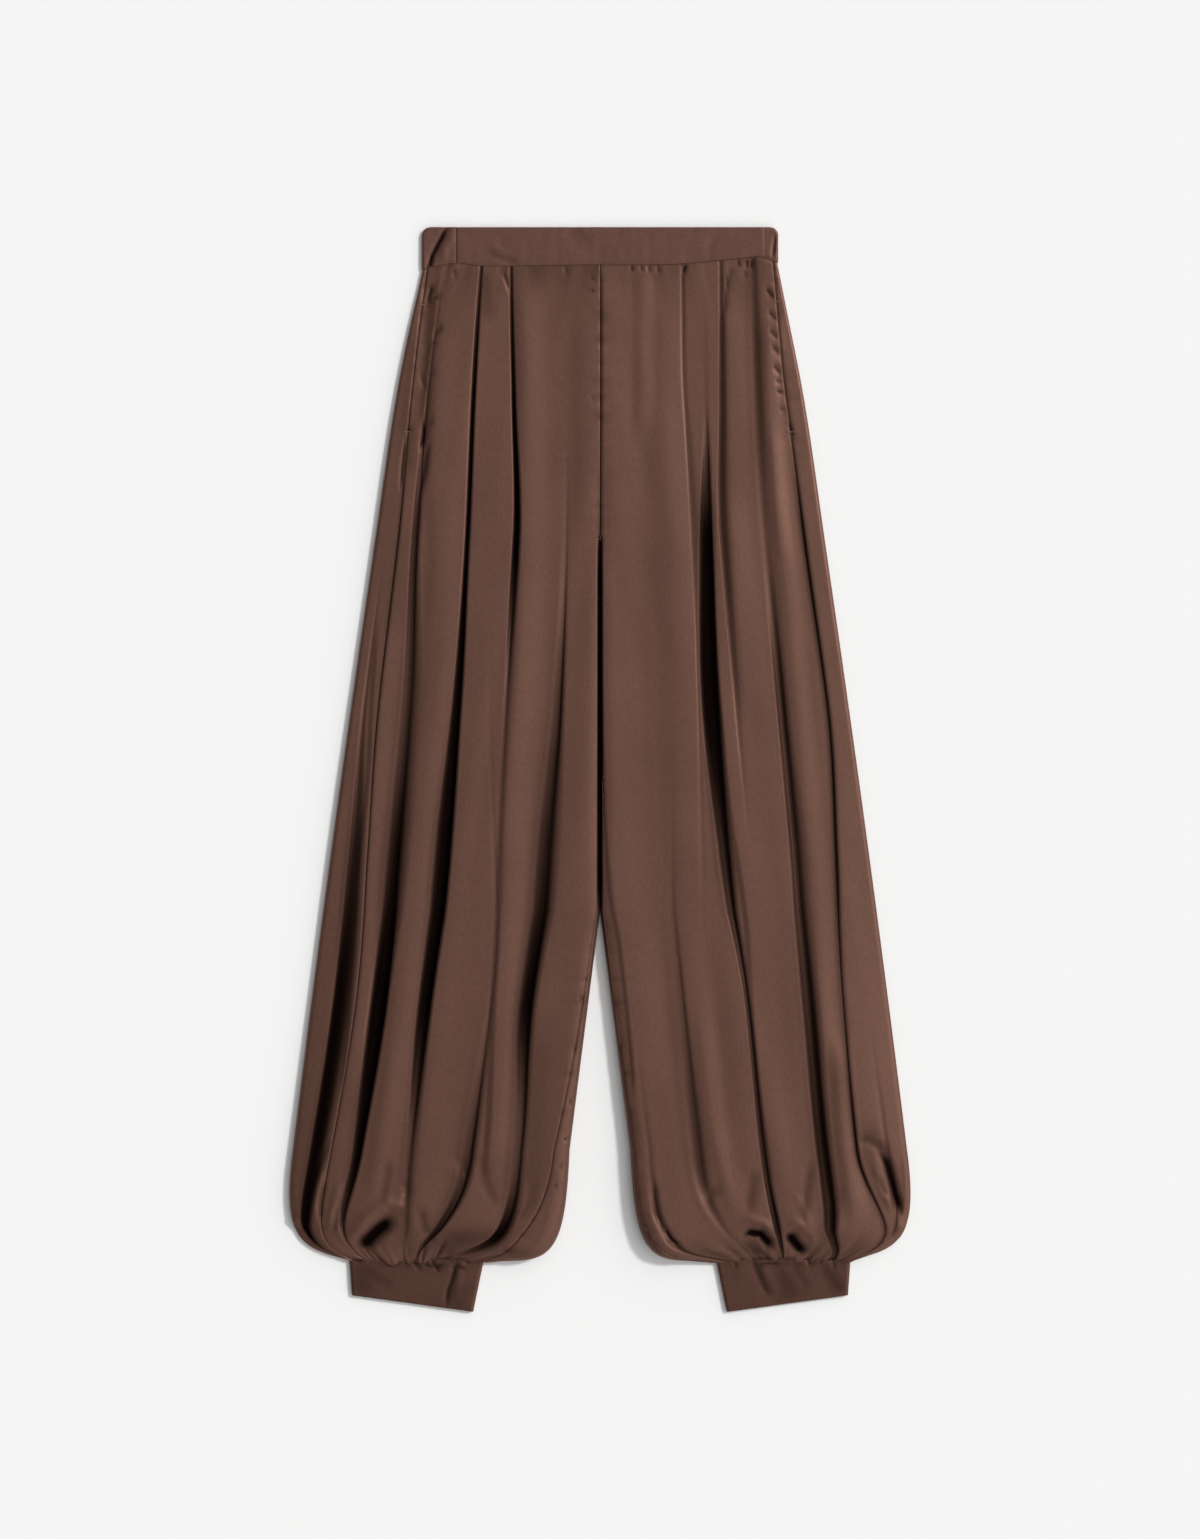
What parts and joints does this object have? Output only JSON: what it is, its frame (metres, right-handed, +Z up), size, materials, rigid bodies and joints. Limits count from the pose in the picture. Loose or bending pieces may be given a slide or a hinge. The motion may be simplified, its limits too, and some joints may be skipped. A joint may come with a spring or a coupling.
{
  "type": "balloon-leg trousers laid flat",
  "caption": "High-waisted satin trousers laid flat front up: pleated full legs gathered into ankle cuffs, flat-front waistband, in-seam pockets.",
  "frame": {"origin": "centre of the outline on the surface the garment lies on", "axes": "+Z up out of the surface, the front of the garment faces it; +Y along the garment from cuffs to waist; +X to the wearer's left"},
  "size_m": [0.6056, 1.0588, 0.0234],
  "materials": {
    "satin": "light brown satin with a soft sheen along the leg",
    "satin_band": "the same satin, doubled and pressed, its weave across the body",
    "satin_cuff": "the same satin, doubled, its weave across the leg"
  },
  "bodies": {
    "root": {"waistband_front": "satin_band", "waistband_back": "satin_band", "front_leg_right": "satin", "front_leg_left": "satin", "back_leg_right": "satin", "back_leg_left": "satin", "cuff_right": "satin_cuff", "cuff_left": "satin_cuff"}
  },
  "joints": []
}
